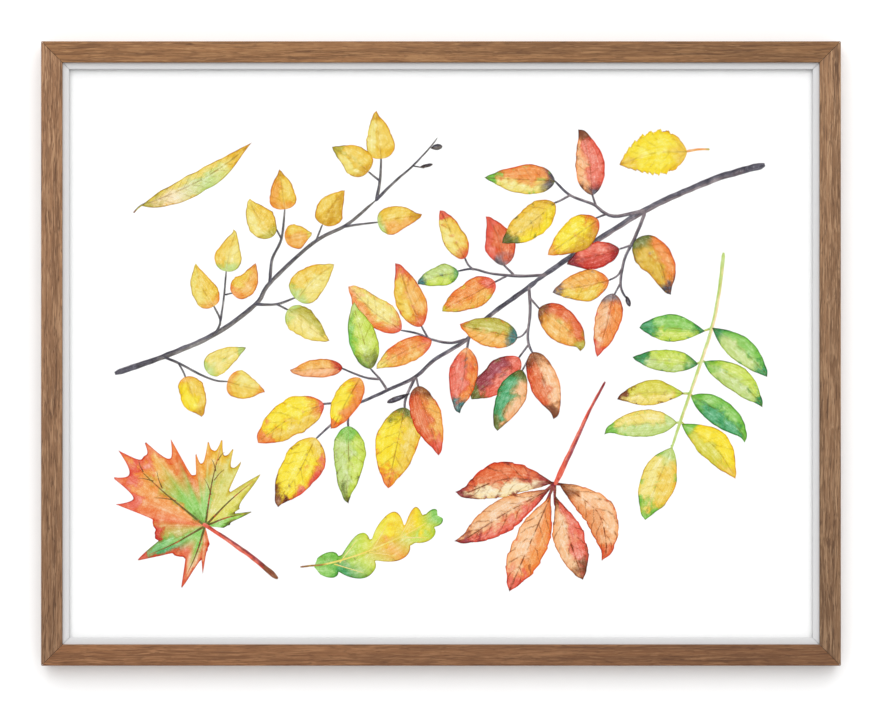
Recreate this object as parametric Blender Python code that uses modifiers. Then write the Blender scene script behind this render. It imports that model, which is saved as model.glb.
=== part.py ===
"""Framed print for a 650 x 500 mm sheet: mitred wooden moulding, pale slip, picture glass and a closed back.

Metres, +Z up. The frame hangs on a wall that is the plane Y = 0, and its front faces -Y. X is zero on the
frame's centre line. Z is zero where two wall hooks carry the strap hangers' rings.
"""

import math

import bmesh
import bpy
from mathutils import Matrix, Vector

# ---------------------------------------------------------------- driving dimensions
FIT_GAP = 0.0003  # air between two pieces that touch
FRAME_WIDTH = 0.680
FRAME_HEIGHT = 0.531
HANG_DROP = 0.130  # from the frame's top edge down to the wall hooks
WALL_GAP = 0.005  # from the wall to the back of the moulding

FACE_WIDTH = 0.018  # the moulding, seen from the front
MOULDING_DEPTH = 0.018
REBATE_WIDTH = 0.005
LIP_DEPTH = 0.003
EDGE_RADIUS = 0.0009
BACK_WIDTH = FACE_WIDTH - REBATE_WIDTH

SLIP_SHOWS = 0.0055  # the slip's width inside the moulding's lip
SLIP_WIDTH = 0.010
SLIP_DEPTH = 0.002
SLIP_EDGE_RADIUS = 0.0004

PRINT_WIDTH, PRINT_HEIGHT, PRINT_DEPTH = 0.650, 0.500, 0.0004
SHEET_CLEARANCE = 0.001  # between a full-size sheet's edge and the rebate
GLAZING_DEPTH = 0.002
FILLER_DEPTH = 0.006
BACKING_DEPTH = 0.003

SCREW_HEAD_RADIUS = 0.0030
SCREW_HEAD_HEIGHT = 0.0015
SCREW_RADIUS = 0.0014
SCREW_LENGTH = 0.009
SCREW_TIP_LENGTH = 0.0025
RECESS_REACH = 0.0016  # of the cross recess's arms, from the screw's axis
RECESS_HALF_WIDTH = 0.00035
RECESS_DEPTH = 0.0009
RECESS_TURN = 32  # degrees
ROUND_SEGMENTS = 16

BUTTON_LENGTH = 0.025
BUTTON_WIDTH = 0.009
BUTTON_DEPTH = 0.0012
BUTTONS_ALONG_RAIL = (-0.190, 0.190)
BUTTONS_ALONG_STILE = (0.0,)

STRAP_WIDTH = 0.0070
STRAP_LENGTH = 0.034  # from the ring's bar to the strap's lower end
STRAP_METAL = 0.0008
STRAP_SCREWS = (-0.012, -0.026)  # below the ring's bar
RING_WIRE_RADIUS = 0.0010
RING_HALF_WIDTH = 0.0055  # to the middle of the wire
RING_HEIGHT = 0.012  # from the bar to the top of the ring, between wire middles
RING_CORNER_RADIUS = 0.0016

V_NAIL_LEG = 0.0050
V_NAIL_METAL = 0.0006
V_NAIL_HEIGHT = 0.010
V_NAIL_INSET = 0.0072  # from the outer edges of both sides that meet
V_NAIL_SUNK = 0.0004

BUMPER_RADIUS = 0.0050
BUMPER_INSET = 0.0065
BUMPER_ALONG = 0.030  # in from the frame's side

# ---------------------------------------------------------------- places worked out from them
FRONT_Y = -(WALL_GAP + MOULDING_DEPTH)
BACK_Y = -WALL_GAP
CENTRE_Z = HANG_DROP - FRAME_HEIGHT / 2
MID_BACK = BACK_WIDTH / 2  # the middle of the moulding's back, in from its outer edge
REBATE_SIZE = (FRAME_WIDTH - 2 * BACK_WIDTH, FRAME_HEIGHT - 2 * BACK_WIDTH)
SHEET_SIZE = tuple(side - 2 * SHEET_CLEARANCE for side in REBATE_SIZE)
HANGER_X = FRAME_WIDTH / 2 - MID_BACK
RING_BAR_Z = RING_WIRE_RADIUS - RING_HEIGHT
CURL_RADIUS = RING_WIRE_RADIUS + FIT_GAP + 0.0001 + STRAP_METAL / 2  # to the middle of the strap's metal
STRAP_Y = BACK_Y + FIT_GAP + STRAP_METAL / 2
RING_Y = STRAP_Y + CURL_RADIUS
BUTTON_Y = BACK_Y + FIT_GAP + BUTTON_DEPTH / 2

# The four sides, each as (turn about Y, half the distance across the frame, length). A side is modelled as
# the bottom one, with its outer edge on the X axis, and turned about the frame's centre.
SIDES = {
    "bottom": (0, FRAME_HEIGHT / 2, FRAME_WIDTH),
    "left": (90, FRAME_WIDTH / 2, FRAME_HEIGHT),
    "top": (180, FRAME_HEIGHT / 2, FRAME_WIDTH),
    "right": (270, FRAME_WIDTH / 2, FRAME_HEIGHT),
}


# ---------------------------------------------------------------- scene helpers
def clear_scene():
    for obj in list(bpy.data.objects):
        bpy.data.objects.remove(obj, do_unlink=True)


def new_collection(name):
    collection = bpy.data.collections.new(name)
    bpy.context.scene.collection.children.link(collection)
    return collection


def finish(name, colour, roughness, metallic=0.0, alpha=1.0):
    """A plain Principled material."""
    made = bpy.data.materials.new(name)
    made.use_nodes = True
    shader = made.node_tree.nodes["Principled BSDF"]
    shader.inputs["Base Color"].default_value = (*colour, 1.0)
    shader.inputs["Roughness"].default_value = roughness
    shader.inputs["Metallic"].default_value = metallic
    shader.inputs["Alpha"].default_value = alpha
    return made


def add_piece(name, data, material, location=(0, 0, 0), rotation=(0, 0, 0)):
    """Puts mesh or curve data in the scene as one named piece. Rotations are in degrees."""
    if not data.materials:
        data.materials.append(material)
    obj = bpy.data.objects.new(name, data)
    obj.location = location
    obj.rotation_euler = [math.radians(angle) for angle in rotation]
    PIECES.objects.link(obj)
    return obj


def add_cutter(name, mesh, location=(0, 0, 0), rotation=(0, 0, 0)):
    obj = bpy.data.objects.new(name, mesh)
    obj.location = location
    obj.rotation_euler = [math.radians(angle) for angle in rotation]
    obj.hide_render = True
    obj.display_type = "WIRE"
    CUTTERS.objects.link(obj)
    return obj


def cut(obj, cutter):
    modifier = obj.modifiers.new("cut_" + cutter.name, "BOOLEAN")
    modifier.operation = "DIFFERENCE"
    modifier.object = cutter


def mesh_from(bm, name):
    """Ends a bmesh as a mesh whose faces point out."""
    bmesh.ops.recalc_face_normals(bm, faces=bm.faces)
    mesh = bpy.data.meshes.new(name)
    bm.to_mesh(mesh)
    bm.free()
    return mesh


def arc(centre, radius, start, end, steps):
    """Points from angle start to angle end, in degrees, on a circle round centre."""
    angles = [math.radians(start + (end - start) * i / steps) for i in range(steps + 1)]
    return [(centre[0] + radius * math.cos(a), centre[1] + radius * math.sin(a)) for a in angles]


def box_mesh(name, size):
    bm = bmesh.new()
    bmesh.ops.create_cube(bm, size=1)
    bmesh.ops.scale(bm, vec=size, verts=bm.verts)
    return mesh_from(bm, name)


def flat_mesh(name, outlines, depth):
    """A flat solid in the XZ plane from closed (x, z) outlines. An outline inside another is a hole."""
    curve = bpy.data.curves.new(name, "CURVE")
    curve.dimensions = "2D"
    curve.fill_mode = "BOTH"
    curve.extrude = depth / 2
    for points in outlines:
        spline = curve.splines.new("POLY")
        spline.points.add(len(points) - 1)
        for point, (x, z) in zip(spline.points, points):
            point.co = (x, z, 0, 1)
        spline.use_cyclic_u = True
    holder = bpy.data.objects.new(name, curve)
    PIECES.objects.link(holder)
    mesh = bpy.data.meshes.new_from_object(holder.evaluated_get(bpy.context.evaluated_depsgraph_get()))
    bpy.data.objects.remove(holder)
    bm = bmesh.new()
    bm.from_mesh(mesh)
    bpy.data.meshes.remove(mesh)
    bmesh.ops.remove_doubles(bm, verts=bm.verts, dist=1e-6)
    bmesh.ops.rotate(bm, matrix=Matrix.Rotation(math.pi / 2, 3, "X"), verts=bm.verts)
    return mesh_from(bm, name)


def add_turned(name, profile, material, location):
    """A solid turned about its own +Z, the world's +Y. The profile is (radius, height) points from the top."""
    mesh = bpy.data.meshes.new(name)
    mesh.from_pydata([(radius, 0, height) for radius, height in profile],
                     [(i, i + 1) for i in range(len(profile) - 1)], [])
    turned = add_piece(name, mesh, material, location, (-90, 0, 0))
    screw = turned.modifiers.new("turn", "SCREW")
    screw.steps = screw.render_steps = ROUND_SEGMENTS
    screw.use_merge_vertices = True
    screw.merge_threshold = 1e-5
    screw.use_smooth_shade = True
    return turned


def rod_mesh(name, radius, length):
    """A rod along Y, centred on its origin."""
    bm = bmesh.new()
    bmesh.ops.create_cone(bm, cap_ends=True, segments=ROUND_SEGMENTS, radius1=radius, radius2=radius,
                          depth=length)
    bmesh.ops.rotate(bm, matrix=Matrix.Rotation(math.pi / 2, 3, "X"), verts=bm.verts)
    return mesh_from(bm, name)


def turned_about_y(point, degrees):
    return Matrix.Rotation(math.radians(degrees), 3, "Y") @ Vector(point)


def on_side(side, along, inward, y):
    """The world place that is this far along a side from its middle, and this far in from its outer edge."""
    turn, half, _ = SIDES[side]
    place = turned_about_y((along, 0, inward - half), turn)
    return Vector((place.x, y, CENTRE_Z + place.z))


# ---------------------------------------------------------------- moulding and slip
def mitred_mesh(name, profile, length):
    """A bar along X with ends cut at 45 degrees. The profile is (inward, depth behind the front) points."""
    mitre_gap = FIT_GAP / 2 * math.sqrt(2)
    bm = bmesh.new()
    start = [bm.verts.new((inward + mitre_gap - length / 2, depth, inward)) for inward, depth in profile]
    grown = bmesh.ops.extrude_face_region(bm, geom=[bm.faces.new(start)])
    for vertex in grown["geom"]:
        if isinstance(vertex, bmesh.types.BMVert):
            vertex.co.x = -vertex.co.x
    return mesh_from(bm, name)


def moulding_profile():
    r = EDGE_RADIUS
    outer_edge = arc((r, r), r, 180, 270, 3)
    inner_edge = arc((FACE_WIDTH - r, r), r, 270, 360, 3)
    return [
        *outer_edge,
        *inner_edge,
        (FACE_WIDTH, LIP_DEPTH),
        (BACK_WIDTH, LIP_DEPTH),
        (BACK_WIDTH, MOULDING_DEPTH),
        (0, MOULDING_DEPTH),
    ]


def slip_profile():
    inner = FACE_WIDTH + SLIP_SHOWS
    front = LIP_DEPTH + FIT_GAP
    r = SLIP_EDGE_RADIUS
    return [
        (inner - SLIP_WIDTH, front),
        *arc((inner - r, front + r), r, 270, 360, 2),
        (inner, front + SLIP_DEPTH),
        (inner - SLIP_WIDTH, front + SLIP_DEPTH),
    ]


def add_side_bars(part_names, profile, material):
    """One mitred bar for each side of the frame."""
    bars = {}
    for side, name in part_names.items():
        turn, _, length = SIDES[side]
        bars[side] = add_piece(name, mitred_mesh(name, profile, length), material,
                               on_side(side, 0, 0, FRONT_Y), (0, turn, 0))
    return bars


# ---------------------------------------------------------------- the sheets in the rebate
def add_sheets(glass, paper, foam, hardboard):
    """The stack behind the slip, from the front: glazing, print, filler board and backing board."""
    stack = [
        ("glazing", SHEET_SIZE, GLAZING_DEPTH, glass),
        ("print_sheet", (PRINT_WIDTH, PRINT_HEIGHT), PRINT_DEPTH, paper),
        ("filler_board", (PRINT_WIDTH, PRINT_HEIGHT), FILLER_DEPTH, foam),
        ("backing_board", SHEET_SIZE, BACKING_DEPTH, hardboard),
    ]
    y = FRONT_Y + LIP_DEPTH + SLIP_DEPTH + 2 * FIT_GAP
    for name, (width, height), depth, material in stack:
        add_piece(name, box_mesh(name, (width, depth, height)), material, (0, y + depth / 2, CENTRE_Z))
        y += depth + FIT_GAP


# ---------------------------------------------------------------- corner nails
def v_outline(leg, metal):
    """A V with its point at the origin and its legs opening towards +X, square to each other."""
    half = metal / math.sqrt(2)
    reach = leg / math.sqrt(2)
    return [
        (-half, 0),
        (reach - half / 2, -reach - half / 2),
        (reach + half / 2, half / 2 - reach),
        (half, 0),
        (reach + half / 2, reach - half / 2),
        (reach - half / 2, reach + half / 2),
    ]


def add_corner_nails(steel, bars):
    """A V nail pressed into each mitre from behind, open towards the outer corner, and the slot round it."""
    slot_metal = V_NAIL_METAL + 2 * FIT_GAP
    slot_leg = V_NAIL_LEG + 2 * FIT_GAP
    slot_height = V_NAIL_HEIGHT + 2 * (V_NAIL_SUNK + FIT_GAP)
    nail = flat_mesh("corner_nail", [v_outline(V_NAIL_LEG, V_NAIL_METAL)], V_NAIL_HEIGHT)
    slot = flat_mesh("nail_slot", [v_outline(slot_leg, slot_metal)], slot_height)
    y = BACK_Y - V_NAIL_SUNK - V_NAIL_HEIGHT / 2
    for across, side in ((-1, "left"), (1, "right")):
        for up, rail in ((-1, "bottom"), (1, "top")):
            x = across * (FRAME_WIDTH / 2 - V_NAIL_INSET)
            place = (x, y, CENTRE_Z + up * (FRAME_HEIGHT / 2 - V_NAIL_INSET))
            facing = (0, -math.degrees(math.atan2(up, across)), 0)
            add_piece(f"corner_nail_{rail}_{side}", nail, steel, place, facing)
            cutter = add_cutter(f"nail_slot_{rail}_{side}", slot, place, facing)
            cut(bars[side], cutter)
            cut(bars[rail], cutter)


# ---------------------------------------------------------------- screws
def cross_outline():
    reach, half = RECESS_REACH, RECESS_HALF_WIDTH
    turned = [(reach, half), (half, half), (half, reach)]
    outline = []
    for _ in range(4):
        outline += turned
        turned = [(-z, x) for x, z in turned]
    return outline


def add_screw(name, bar, place, head_y, steel):
    """A cross-recess screw at an (x, z) place, its head's underside at head_y, and its blind hole in the bar."""
    x, z = place
    crown = 0.0004
    profile = [
        (0, SCREW_HEAD_HEIGHT),
        (SCREW_HEAD_RADIUS * 0.7, SCREW_HEAD_HEIGHT),
        (SCREW_HEAD_RADIUS, SCREW_HEAD_HEIGHT - crown),
        (SCREW_HEAD_RADIUS, 0),
        (SCREW_RADIUS, 0),
        (SCREW_RADIUS, SCREW_TIP_LENGTH - SCREW_LENGTH),
        (0, -SCREW_LENGTH),
    ]
    screw = add_turned(name, profile, steel, (x, head_y, z))
    recess = flat_mesh(name + "_recess", [cross_outline()], 2 * RECESS_DEPTH)
    cut(screw, add_cutter(name + "_recess", recess, (x, head_y + SCREW_HEAD_HEIGHT, z), (0, RECESS_TURN, 0)))
    depth = SCREW_LENGTH + 0.001
    past_the_back = 0.001
    hole = rod_mesh(name + "_hole", SCREW_RADIUS + FIT_GAP, depth + past_the_back)
    cut(bar, add_cutter(name + "_hole", hole, (x, BACK_Y - (depth - past_the_back) / 2, z)))


# ---------------------------------------------------------------- turn buttons
def button_mesh():
    """A flat lever with round ends and a pivot hole at its origin. It points along its own +Z."""
    half = BUTTON_WIDTH / 2
    tip_half = half * 0.72
    tip = BUTTON_LENGTH - half - tip_half
    outline = [*arc((0, 0), half, 180, 360, 8), *arc((0, tip), tip_half, 0, 180, 8)]
    hole = arc((0, 0), SCREW_RADIUS + FIT_GAP + 0.0001, 0, 360, ROUND_SEGMENTS)[:-1]
    return flat_mesh("turn_button", [outline, hole], BUTTON_DEPTH)


def add_turn_buttons(steel, bars):
    """Flat levers that hold the backing board in, each with its origin at its pivot and a screw through it."""
    mesh = button_mesh()
    for side, (turn, _, _) in SIDES.items():
        places = BUTTONS_ALONG_RAIL if side in ("top", "bottom") else BUTTONS_ALONG_STILE
        for number, along in enumerate(places, start=1):
            label = f"{side}_{number}" if len(places) > 1 else side
            place = on_side(side, along, MID_BACK, BUTTON_Y)
            add_piece("turn_button_" + label, mesh, steel, place, (0, turn, 0))
            add_screw("button_screw_" + label, bars[side], (place.x, place.z),
                      BUTTON_Y + BUTTON_DEPTH / 2 + FIT_GAP, steel)


# ---------------------------------------------------------------- strap hangers
def strap_path():
    """The middle of the strap's metal as (y, z) points about the ring's bar: straight, then curled round it."""
    return [(-CURL_RADIUS, -STRAP_LENGTH), (-CURL_RADIUS, -0.003), *arc((0, 0), CURL_RADIUS, 180, -105, 18)]


def add_strap(name, x, steel):
    """A bent strip with two screw holes, made as a ribbon that Solidify gives its thickness."""
    bm = bmesh.new()
    line = [bm.verts.new((-STRAP_WIDTH / 2, y, z)) for y, z in strap_path()]
    edges = [bm.edges.new(pair) for pair in zip(line, line[1:])]
    grown = bmesh.ops.extrude_edge_only(bm, edges=edges)
    moved = [v for v in grown["geom"] if isinstance(v, bmesh.types.BMVert)]
    bmesh.ops.translate(bm, vec=(STRAP_WIDTH, 0, 0), verts=moved)
    strap = add_piece(name, mesh_from(bm, name), steel, (x, RING_Y, RING_BAR_Z))
    shell = strap.modifiers.new("metal", "SOLIDIFY")
    shell.thickness = STRAP_METAL
    shell.offset = 0
    shell.use_even_offset = True
    hole = rod_mesh("strap_hole", SCREW_RADIUS + FIT_GAP + 0.0001, 0.004)
    for number, below in enumerate(STRAP_SCREWS, start=1):
        cut(strap, add_cutter(f"{name}_hole_{number}", hole, (x, STRAP_Y, RING_BAR_Z + below)))


def ring_points():
    """The ring's middle line as (x, z) points about its bar's middle: a straight bar and a round top."""
    r, half = RING_CORNER_RADIUS, RING_HALF_WIDTH
    bar_left = arc((r - half, r), r, 180, 270, 4)
    bar_right = arc((half - r, r), r, 270, 360, 4)
    top = arc((0, RING_HEIGHT - half), half, 0, 180, 14)
    return bar_left + bar_right + top


def add_ring(name, x, steel):
    """A wire ring with its origin on its bar, which is the axis that it swings about."""
    curve = bpy.data.curves.new(name, "CURVE")
    curve.dimensions = "3D"
    curve.bevel_depth = RING_WIRE_RADIUS
    curve.bevel_resolution = 3
    spline = curve.splines.new("POLY")
    points = ring_points()
    spline.points.add(len(points) - 1)
    for point, (along, up) in zip(spline.points, points):
        point.co = (along, 0, up, 1)
    spline.use_cyclic_u = True
    add_piece(name, curve, steel, (x, RING_Y, RING_BAR_Z))


def add_hangers(steel, bars):
    """A strap, its ring and its two screws on the back of each stile."""
    for side, x in (("left", -HANGER_X), ("right", HANGER_X)):
        add_strap(f"hanger_strap_{side}", x, steel)
        add_ring(f"hanger_ring_{side}", x, steel)
        for number, below in enumerate(STRAP_SCREWS, start=1):
            add_screw(f"hanger_screw_{side}_{number}", bars[side], (x, RING_BAR_Z + below),
                      STRAP_Y + STRAP_METAL / 2 + FIT_GAP, steel)


# ---------------------------------------------------------------- bumpers
def add_bumpers(rubber):
    """Two round feet on the bottom rail's back, whose flat ends touch the wall."""
    height = WALL_GAP - FIT_GAP
    shoulder = 0.0008
    profile = [
        (0, height),
        (BUMPER_RADIUS - shoulder, height),
        (BUMPER_RADIUS, height - shoulder),
        (BUMPER_RADIUS, 0),
        (0, 0),
    ]
    z = CENTRE_Z - FRAME_HEIGHT / 2 + BUMPER_INSET
    for name, across in (("wall_bumper_left", -1), ("wall_bumper_right", 1)):
        add_turned(name, profile, rubber, (across * (FRAME_WIDTH / 2 - BUMPER_ALONG), BACK_Y + FIT_GAP, z))


# ---------------------------------------------------------------- the whole object
clear_scene()
PIECES = new_collection("framed_botanical_print")
CUTTERS = new_collection("cutters")

walnut = finish("walnut", (0.29, 0.155, 0.082), 0.55)
slip_paint = finish("slip_paint", (0.70, 0.70, 0.69), 0.6)
picture_glass = finish("picture_glass", (1.0, 1.0, 1.0), 0.05, alpha=0.08)
paper = finish("paper", (0.93, 0.93, 0.92), 0.85)
foam_board = finish("foam_board", (0.86, 0.85, 0.82), 0.8)
hardboard = finish("hardboard", (0.30, 0.20, 0.12), 0.7)
zinc_steel = finish("zinc_steel", (0.62, 0.62, 0.60), 0.35, metallic=1.0)
bumper_rubber = finish("bumper_rubber", (0.05, 0.05, 0.05), 0.8)

moulding = add_side_bars(
    {"bottom": "rail_bottom", "left": "stile_left", "top": "rail_top", "right": "stile_right"},
    moulding_profile(),
    walnut,
)
add_side_bars(
    {"bottom": "slip_bottom", "left": "slip_left", "top": "slip_top", "right": "slip_right"},
    slip_profile(),
    slip_paint,
)
add_sheets(picture_glass, paper, foam_board, hardboard)
add_corner_nails(zinc_steel, moulding)
add_turn_buttons(zinc_steel, moulding)
add_hangers(zinc_steel, moulding)
add_bumpers(bumper_rubber)
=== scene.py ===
"""Framed autumn leaf print: finishes for the frame, and watercolour leaves and twigs laid on its paper.

Lengths are metres in the frame's own axes, +Z up, with the wall as the plane Y = 0. Places on the paper are
millimetres right of and above the sheet's middle.
"""

import math

import bmesh
import bpy
from bpy.props import FloatProperty, FloatVectorProperty, PointerProperty
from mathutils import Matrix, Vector, noise


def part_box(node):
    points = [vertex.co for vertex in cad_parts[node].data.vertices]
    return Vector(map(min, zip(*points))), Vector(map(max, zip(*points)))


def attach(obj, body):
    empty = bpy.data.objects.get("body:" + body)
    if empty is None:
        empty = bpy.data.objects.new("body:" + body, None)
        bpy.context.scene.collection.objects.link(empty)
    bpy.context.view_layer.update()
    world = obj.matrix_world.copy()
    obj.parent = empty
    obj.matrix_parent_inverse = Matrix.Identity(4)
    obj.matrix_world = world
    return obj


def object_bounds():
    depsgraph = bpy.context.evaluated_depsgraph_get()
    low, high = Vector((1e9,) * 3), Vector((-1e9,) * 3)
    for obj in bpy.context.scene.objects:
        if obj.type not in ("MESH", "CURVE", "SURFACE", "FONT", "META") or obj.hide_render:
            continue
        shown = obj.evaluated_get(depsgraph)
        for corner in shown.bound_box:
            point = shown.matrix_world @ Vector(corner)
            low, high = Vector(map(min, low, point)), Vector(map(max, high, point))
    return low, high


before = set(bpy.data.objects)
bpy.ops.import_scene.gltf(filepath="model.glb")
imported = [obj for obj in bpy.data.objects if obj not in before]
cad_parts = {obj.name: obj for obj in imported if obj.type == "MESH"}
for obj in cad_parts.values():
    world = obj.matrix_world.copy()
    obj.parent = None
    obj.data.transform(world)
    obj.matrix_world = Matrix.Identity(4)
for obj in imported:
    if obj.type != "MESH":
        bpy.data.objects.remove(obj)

bl_info = {
    "name": "Framed autumn leaf print",
    "version": (1, 0, 0),
    "blender": (4, 5, 0),
    "location": "View3D > Sidebar > Leaf Print",
    "description": "Finishes a framed print and paints autumn leaves on its paper",
    "category": "Object",
}

MM = 0.001
CAD_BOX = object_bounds()
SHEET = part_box("print_sheet")
SHEET_MIDDLE = (SHEET[0] + SHEET[1]) / 2
PAPER_Y = SHEET[0].y  # the paper's front
FRONT_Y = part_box("rail_top")[0].y  # the moulding's front
FILM_BACK = 0.0125 * MM  # the back of the ink films, above the paper
FILM_LIFT = 0.05 * MM  # a piece's first film, above the paper
FILM_STEP = 0.003 * MM  # each shape above the one before
MERGE_REACH = 0.001 * MM  # vertices closer than this are one


def paint(red, green, blue):
    """A colour of 0 to 255 display (sRGB) values, as scene-linear values."""
    shares = (value / 255 for value in (red, green, blue))
    return tuple(s / 12.92 if s <= 0.04045 else ((s + 0.055) / 1.055) ** 2.4 for s in shares)


# -------- settings
def colour_setting(name, description, default):
    return FloatVectorProperty(name=name, description=description, subtype="COLOR", size=3, min=0, max=1,
                               default=default)


def ink_setting(look, red, green, blue):
    return colour_setting(look, look + " ink", paint(red, green, blue))


def number_setting(name, description, default, lowest=0, **choices):
    return FloatProperty(name=name, description=description, default=default, min=lowest, **choices)


class FrameSettings(bpy.types.PropertyGroup):
    wood: colour_setting("Wood", "Body colour of the moulding", paint(122, 86, 56))
    wood_dark: colour_setting("Pores", "Dark lines of the grain", paint(78, 50, 30))
    wood_light: colour_setting("Light grain", "Light bands of the grain", paint(142, 102, 68))
    wood_pale: colour_setting("Fibres", "Palest fibres of the grain", paint(176, 136, 98))
    slip: colour_setting("Slip", "Paint on the narrow inner slip", paint(200, 200, 201))
    paper: colour_setting("Paper", "Colour of the sheet", (0.95, 0.95, 0.95))
    board: colour_setting("Backing board", "Colour of the hardboard", paint(150, 111, 76))
    steel: colour_setting("Steel", "Zinc plating on the hardware", (0.6, 0.61, 0.62))
    glass_haze: number_setting("Glass haze", "How much the glass hides", 0.03, max=1, subtype="FACTOR")


class InkSettings(bpy.types.PropertyGroup):
    cream: ink_setting("Very pale brown", 250, 228, 180)
    straw: ink_setting("Pale yellow", 244, 226, 128)
    lemon: ink_setting("Clear yellow", 250, 226, 54)
    gold: ink_setting("Warm yellow", 242, 204, 82)
    ochre: ink_setting("Dull yellow", 222, 176, 58)
    citron: ink_setting("Greenish yellow", 220, 212, 78)
    honey: ink_setting("Orange-yellow", 244, 180, 88)
    orange: ink_setting("Orange", 242, 146, 72)
    tangerine: ink_setting("Deep orange", 228, 108, 62)
    peach: ink_setting("Pale orange", 250, 192, 140)
    coral: ink_setting("Pinkish red", 236, 116, 94)
    red: ink_setting("Red", 208, 68, 54)
    wine: ink_setting("Dark red", 158, 66, 76)
    sand: ink_setting("Pale brown", 246, 188, 136)
    tan: ink_setting("Orange-brown", 236, 156, 98)
    sage: ink_setting("Pale green", 202, 222, 138)
    lime: ink_setting("Yellow-green", 208, 226, 100)
    leaf: ink_setting("Green", 142, 204, 96)
    jade: ink_setting("Blue-green", 78, 164, 106)
    teal: ink_setting("Dark blue-green", 78, 136, 134)
    olive: ink_setting("Brownish yellow-green", 196, 186, 80)
    moss: ink_setting("Dark yellow-green", 118, 128, 66)
    umber: ink_setting("Brown", 146, 92, 62)
    slate: ink_setting("Blue-grey", 98, 95, 106)
    dusk: ink_setting("Grey-purple", 142, 130, 134)
    ash: ink_setting("Warm grey", 130, 125, 122)
    wetness: number_setting("Wetness", "How far one ink runs into the next", 1.0, max=3)
    pooling: number_setting("Pooling", "How much ink gathers along a leaf's edge", 0.7, max=2)


class StageSettings(bpy.types.PropertyGroup):
    wall: colour_setting("Wall", "Colour of the wall", (0.95, 0.95, 0.95))
    floor: colour_setting("Floor", "Colour of the floor", (0.6, 0.6, 0.6))
    view_width: number_setting("View width", "Width seen at the front", 0.7497, 0.1, subtype="DISTANCE")
    lens: number_setting("Lens", "Focal length", 135, 10, unit="CAMERA")
    room_light: number_setting("Room light", "Strength of the light from all round", 0.62)
    top_light: number_setting("Top light", "Strength of the light from above", 2.2)
    back_light: number_setting("Back light", "Strength of the light on the back", 1.6)


def settings(kind):
    return getattr(bpy.context.scene, "leaf_print_" + kind)


# -------- materials
class Finish:
    """One material's node tree, built up a node at a time. An input is a value or another node's output."""

    def __init__(self, name, roughness, metallic=0.0, alpha=1.0, sheen=0.5):
        self.material = bpy.data.materials.new(name)
        self.material.use_nodes = True
        self.tree = self.material.node_tree
        self.shader = self.tree.nodes["Principled BSDF"]
        for socket, value in (("Roughness", roughness), ("Metallic", metallic), ("Alpha", alpha),
                              ("Specular IOR Level", sheen)):
            self.shader.inputs[socket].default_value = value
        self.place = self.node("TexCoord").outputs["Object"]

    def feed(self, socket, value):
        if isinstance(value, bpy.types.NodeSocket):
            self.tree.links.new(value, socket)
        else:
            socket.default_value = value

    def node(self, kind, inputs=None, **choices):
        made = self.tree.nodes.new("ShaderNode" + kind)
        for name, value in choices.items():
            setattr(made, name, value)
        for name, value in (inputs or {}).items():
            self.feed(made.inputs[name], value)
        return made

    def mapped(self, scale=(1, 1, 1), shift=(0, 0, 0), turn=(0, 0, 0)):
        angles = tuple(math.radians(angle) for angle in turn)
        return self.node("Mapping", {"Vector": self.place, "Location": shift, "Rotation": angles,
                                     "Scale": scale}).outputs[0]

    def noise(self, vector, scale, detail=3.0, roughness=0.55, distortion=0.0):
        return self.node("TexNoise", {"Vector": vector, "Scale": scale, "Detail": detail,
                                      "Roughness": roughness, "Distortion": distortion}).outputs["Fac"]

    def maths(self, operation, first, second=0.0, third=0.0):
        return self.node("Math", {0: first, 1: second, 2: third}, operation=operation).outputs[0]

    def times(self, first, second):
        return self.maths("MULTIPLY", first, second)

    def larger(self, first, second):
        return self.maths("MAXIMUM", first, second)

    def swing(self, value, by, reach):
        """Adds to value from -reach / 2 to reach / 2, as by goes from 0 to 1."""
        return self.maths("MULTIPLY_ADD", self.maths("SUBTRACT", by, 0.5), reach, value)

    def rise(self, value, low, high):
        """A smooth step from 0, where value is at low, to 1, where it is at high. low may be the larger."""
        return self.node("MapRange", {"Value": value, "From Min": low, "From Max": high},
                         interpolation_type="SMOOTHSTEP").outputs["Result"]

    def spread(self, value, low, high):
        """Takes a 0 to 1 value to low to high."""
        return self.node("MapRange", {"Value": value, "To Min": low, "To Max": high}).outputs["Result"]

    def blend(self, share, first, second, how="MIX"):
        made = self.node("Mix", data_type="RGBA", blend_type=how)
        for number, value in ((0, share), (6, first), (7, second)):
            if not isinstance(value, bpy.types.NodeSocket) and number:
                value = (*value, 1.0)
            self.feed(made.inputs[number], value)
        return made.outputs[2]

    def attribute(self, name, kind):
        return self.node("Attribute", attribute_name=name).outputs[kind]

    def parts(self, vector):
        return self.node("SeparateXYZ", {0: vector}).outputs

    def colour(self, value):
        if not isinstance(value, bpy.types.NodeSocket):
            value = (*value, 1.0)
        self.feed(self.shader.inputs["Base Color"], value)

    def rough(self, value):
        self.feed(self.shader.inputs["Roughness"], value)

    def bump(self, height, depth, strength=1.0):
        """Raises the surface by height, a 0 to 1 value, times depth in metres."""
        made = self.node("Bump", {"Height": height, "Distance": depth, "Strength": strength})
        self.feed(self.shader.inputs["Normal"], made.outputs[0])


def add_object(name, data):
    made = bpy.data.objects.new(name, data)
    bpy.context.scene.collection.objects.link(made)
    return made


def dress(material, *names):
    """Gives a finish to nodes of the frame."""
    for name in names:
        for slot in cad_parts[name].material_slots:
            slot.material = material


GRAIN_SWAY = 3 * MM  # how far the grain strays from straight
RAIL_BOLDNESS = 0.72  # of the grain in the rails, against 1 in the stiles
RAIL_PAINTED_SHADE = 0.56  # painted shade: a rail's loss of brightness per metre to the right
STILE_PAINTED_LIGHT = 0.8  # painted light: a stile's gain of brightness per metre upwards
STILE_MIDDLE = -0.1355  # the height of a stile's middle


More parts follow.
